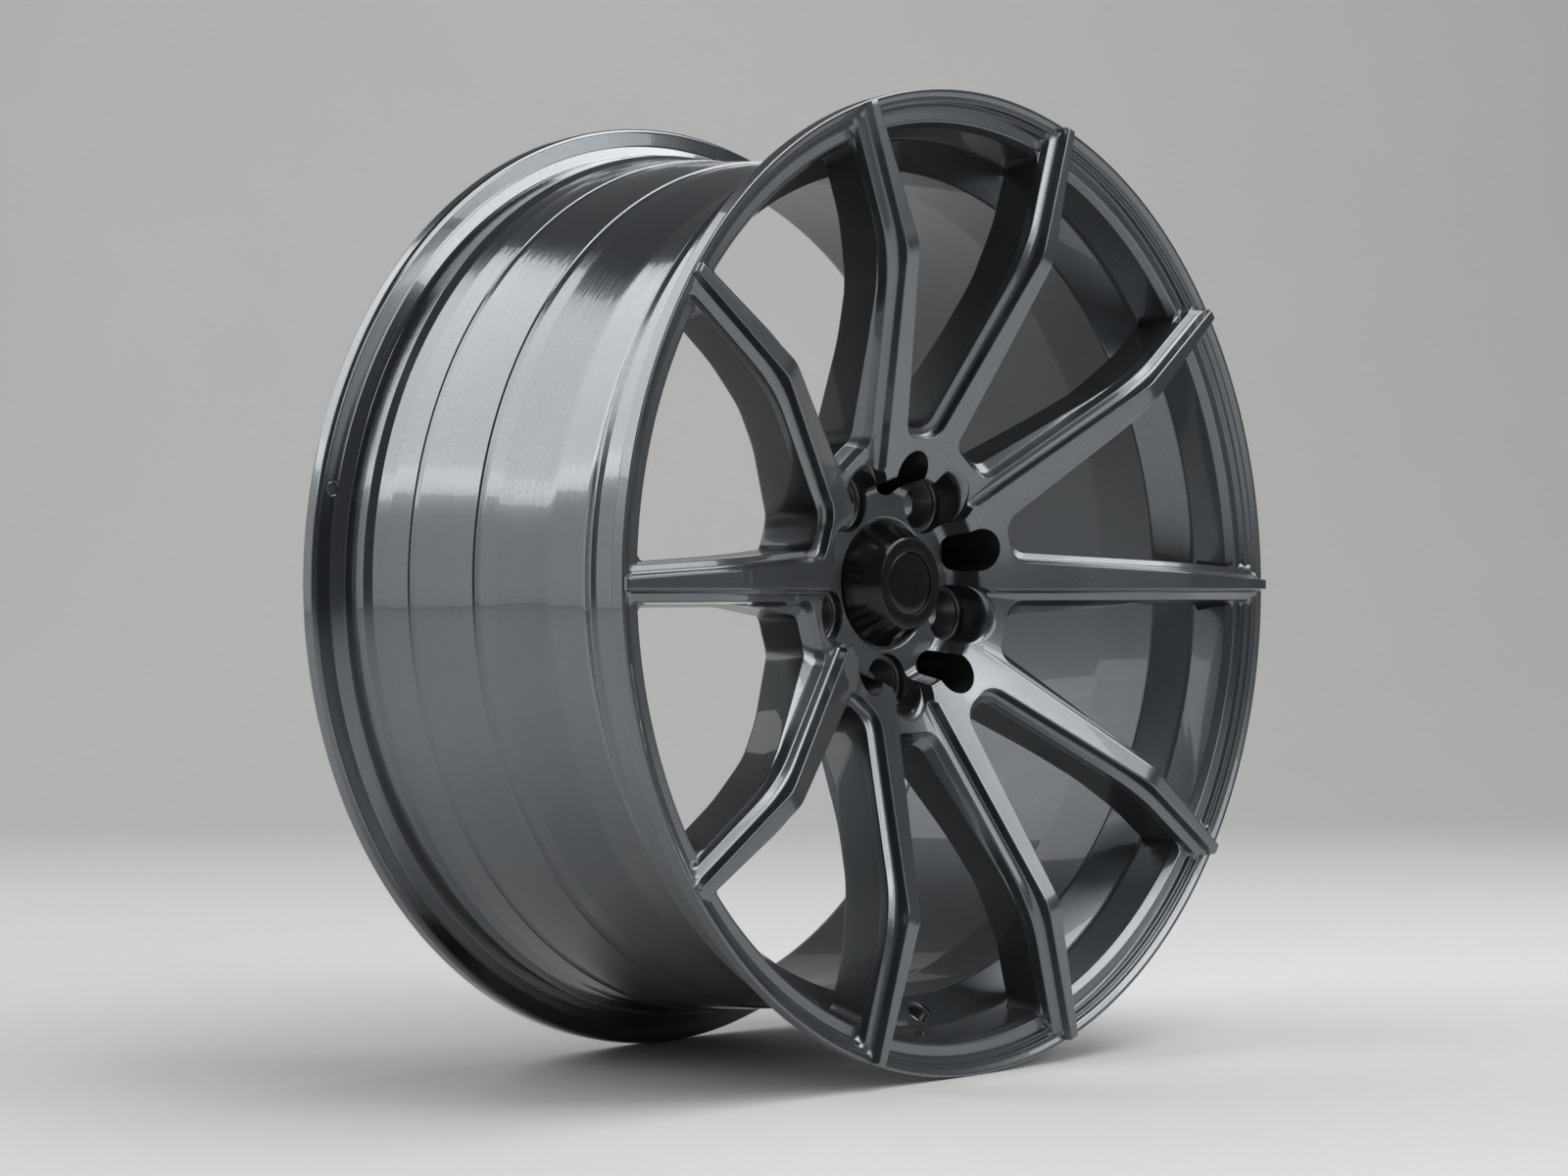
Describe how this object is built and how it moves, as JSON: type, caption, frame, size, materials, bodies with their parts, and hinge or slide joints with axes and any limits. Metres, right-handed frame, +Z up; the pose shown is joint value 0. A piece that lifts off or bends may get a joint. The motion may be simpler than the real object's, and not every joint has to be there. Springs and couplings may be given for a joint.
{
  "type": "alloy wheel",
  "caption": "Cast alloy road wheel with slim paired spokes bending over the rim lip, recessed hub with bolt wells, wide drop-centre barrel and a snap-in black centre cap.",
  "frame": {"origin": "centre of the bolt circle on the hub mounting face", "axes": "+Y along the wheel's axis towards the vehicle, the styled face looks to -Y, +Z up, the valve hole is at the bottom"},
  "size_m": [0.543, 0.2566, 0.5429],
  "materials": {
    "wheel": "gloss clear coat over gunmetal metallic paint",
    "cap": "gloss black",
    "cap_disc": "gloss black",
    "spring_steel": "bright"
  },
  "bodies": {
    "root": {"wheel": "wheel", "center_cap": "cap", "cap_emblem_disc": "cap_disc", "cap_retaining_ring": "spring_steel"}
  },
  "joints": []
}
